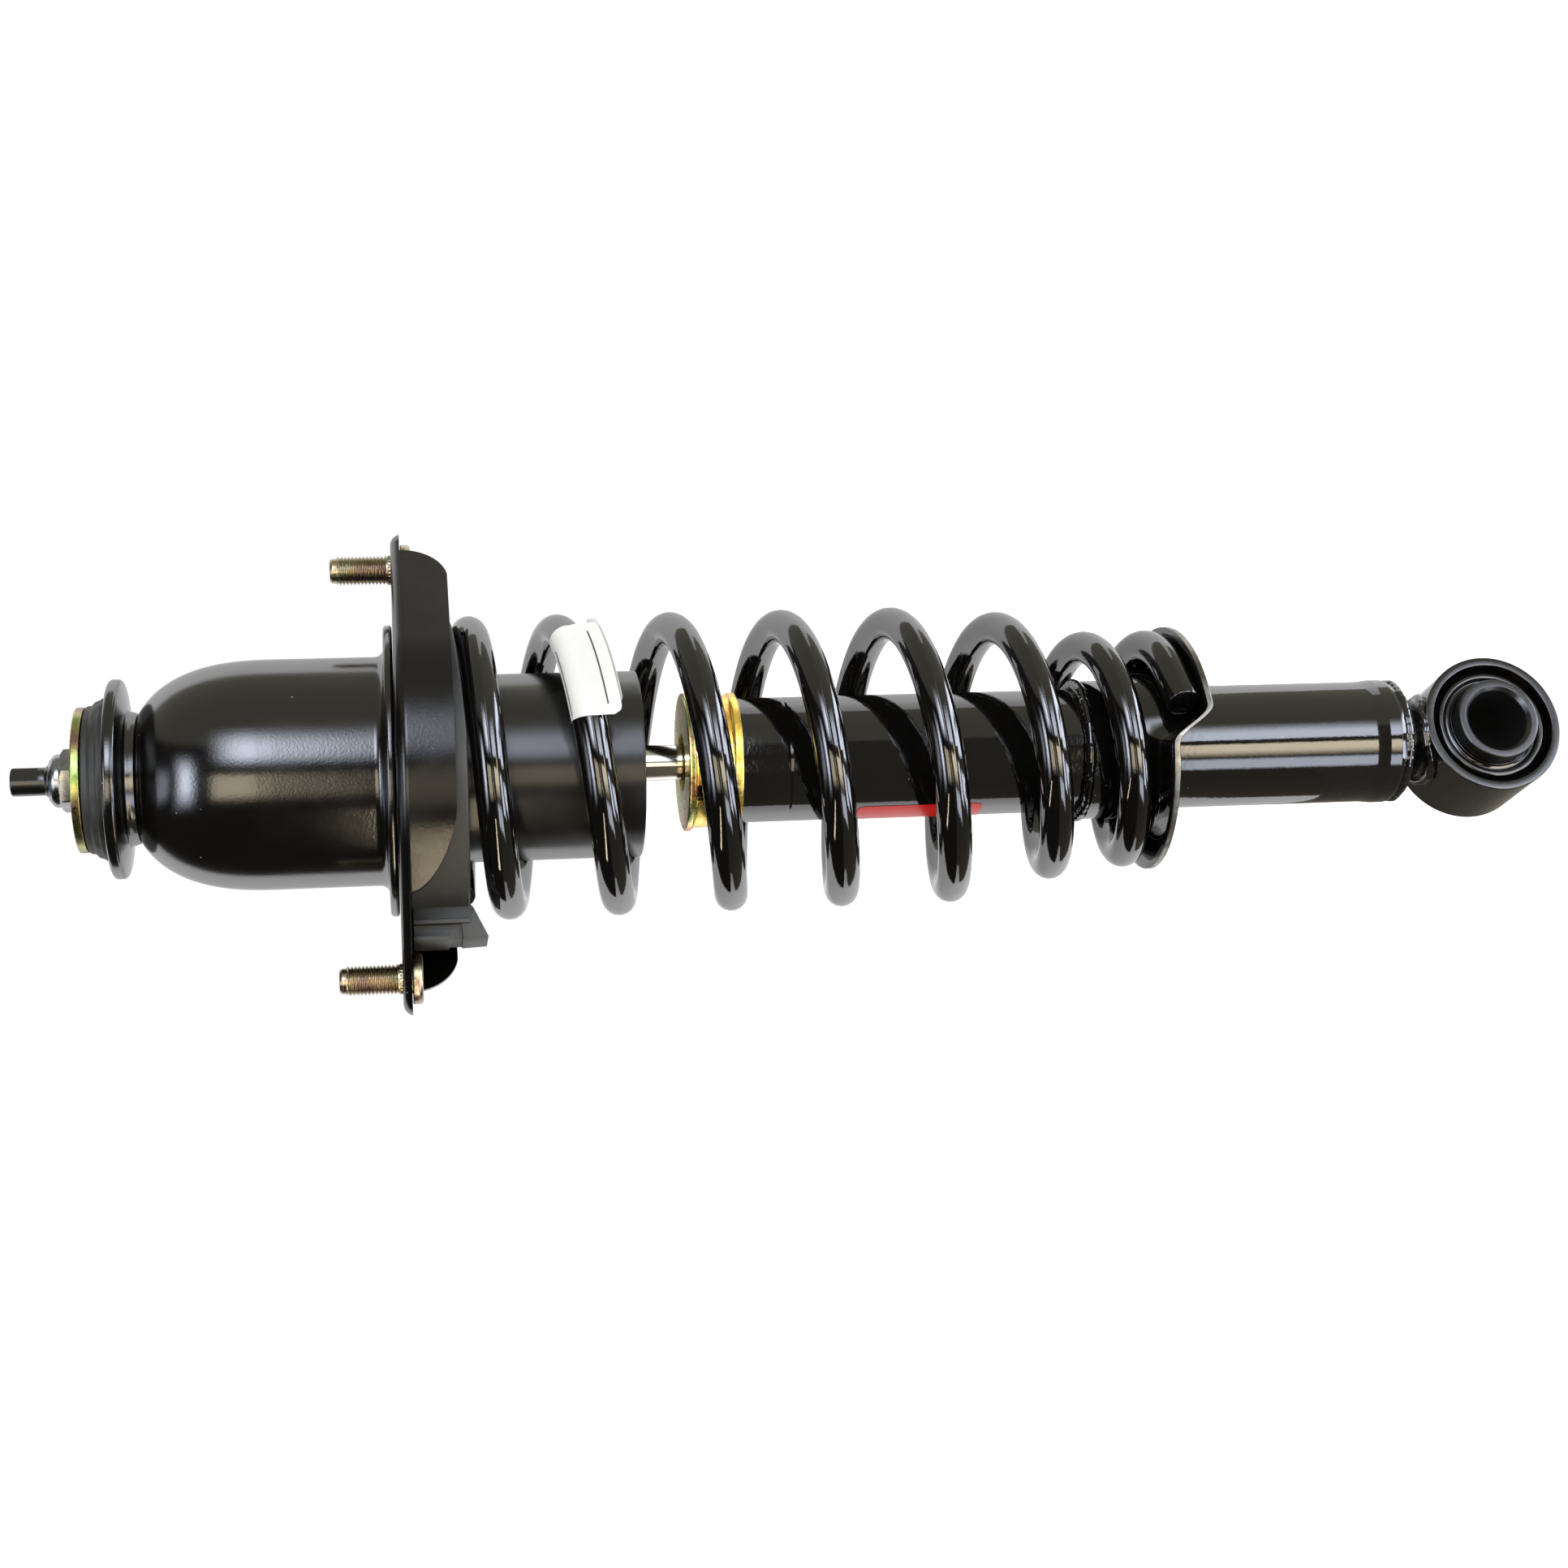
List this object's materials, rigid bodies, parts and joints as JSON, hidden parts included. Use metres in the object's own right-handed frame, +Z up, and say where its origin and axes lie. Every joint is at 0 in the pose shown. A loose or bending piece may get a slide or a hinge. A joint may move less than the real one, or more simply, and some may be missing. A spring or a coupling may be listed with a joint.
{
  "type": "strut assembly",
  "caption": "Coil-over strut: damper in a right-hand coil spring, bell-shaped top mount with threaded studs, dust cover and a rubber-bushed lower eye.",
  "frame": {"origin": "on the damper's axis, at the top face of the mount flange, where the strut bolts up under the body", "axes": "+Z up the damper's axis towards the rod nut; the lower eye's axis is parallel to Y; the studs' line is 6.5 degrees from X"},
  "size_m": [0.1676, 0.115, 0.5462],
  "materials": {
    "satin_black_paint": "satin black paint on pressed steel",
    "gloss_black_enamel": "gloss black enamel",
    "yellow_zinc": "yellow passivated zinc, iridescent",
    "clear_zinc": "clear zinc plate",
    "black_oxide_steel": "dark phosphated steel",
    "hard_chrome": "ground and hard-chromed",
    "black_rubber": "moulded rubber",
    "grey_rubber": "moulded rubber with bloom",
    "black_plastic": "extruded satin black polypropylene",
    "urethane_foam": "microcellular polyurethane",
    "bare_steel": "bare steel, inside the damper",
    "ptfe_band": "filled PTFE"
  },
  "bodies": {
    "mount": {"mount_flange": "satin_black_paint", "mount_stud_a": "yellow_zinc", "mount_stud_b": "yellow_zinc", "bell_housing": "satin_black_paint", "cushion_cup": "satin_black_paint", "upper_cushion": "black_rubber", "lower_cushion": "black_rubber", "upper_washer": "yellow_zinc", "lower_washer": "clear_zinc", "spacer_sleeve": "clear_zinc", "rod_nut": "clear_zinc", "piston_rod": "hard_chrome", "dust_cover": "black_plastic", "bump_stop": "urethane_foam", "bump_stop_cup": "satin_black_paint", "upper_insulator": "grey_rubber", "coil_spring": "gloss_black_enamel", "piston": "bare_steel", "piston_band": "ptfe_band", "valve_discs": "bare_steel", "piston_nut": "bare_steel", "rebound_stop": "black_rubber"},
    "damper": {"outer_tube": "gloss_black_enamel", "bumper_cap": "yellow_zinc", "rod_seal": "black_rubber", "rod_guide": "bare_steel", "pressure_tube": "bare_steel", "base_valve": "bare_steel", "end_cap": "gloss_black_enamel", "lower_spring_seat": "gloss_black_enamel", "eye_ring": "gloss_black_enamel", "eye_bush": "black_rubber"},
    "sleeve": {"eye_sleeve": "black_oxide_steel"}
  },
  "joints": [
    {"name": "strut_stroke", "type": "slide", "parent": "mount", "child": "damper", "axis": [0, 0, 1], "range_m": [0, 0.132], "stiffness_N_per_m": 25000, "deforming": ["coil_spring", "bump_stop"]},
    {"name": "sleeve_twist", "type": "hinge", "parent": "damper", "child": "sleeve", "pos_m": [0, 0, -0.3929], "axis": [0, 1, 0], "range_deg": [-15, 15], "stiffness_Nm_per_rad": 20}
  ]
}
